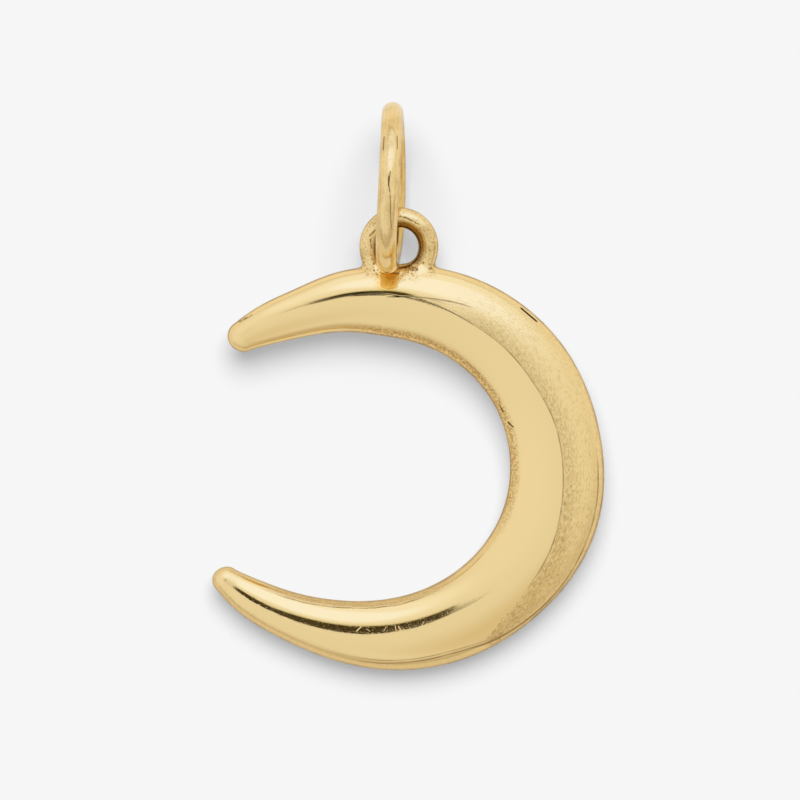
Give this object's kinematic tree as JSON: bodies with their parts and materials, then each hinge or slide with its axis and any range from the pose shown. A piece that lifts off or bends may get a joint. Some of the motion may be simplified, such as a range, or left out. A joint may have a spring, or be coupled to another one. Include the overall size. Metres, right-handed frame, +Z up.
{
  "type": "crescent moon pendant",
  "caption": "Domed crescent moon pendant, lying flat, with a soldered wire eye on its upper edge and a round-wire jump ring for a chain.",
  "frame": {"origin": "on the floor, under the middle of the pendant's box", "axes": "+Y towards the jump ring, +X away from the crescent's tips, +Z up from the floor, out of the pendant's front"},
  "size_m": [0.0196, 0.0284, 0.0086],
  "materials": {
    "polished_gold": "mirror-polished yellow gold with fine handling scratches",
    "ring_gold": "drawn round wire in yellow gold, softly polished"
  },
  "bodies": {
    "root": {"crescent": "polished_gold", "jump_ring": "ring_gold"}
  },
  "joints": []
}
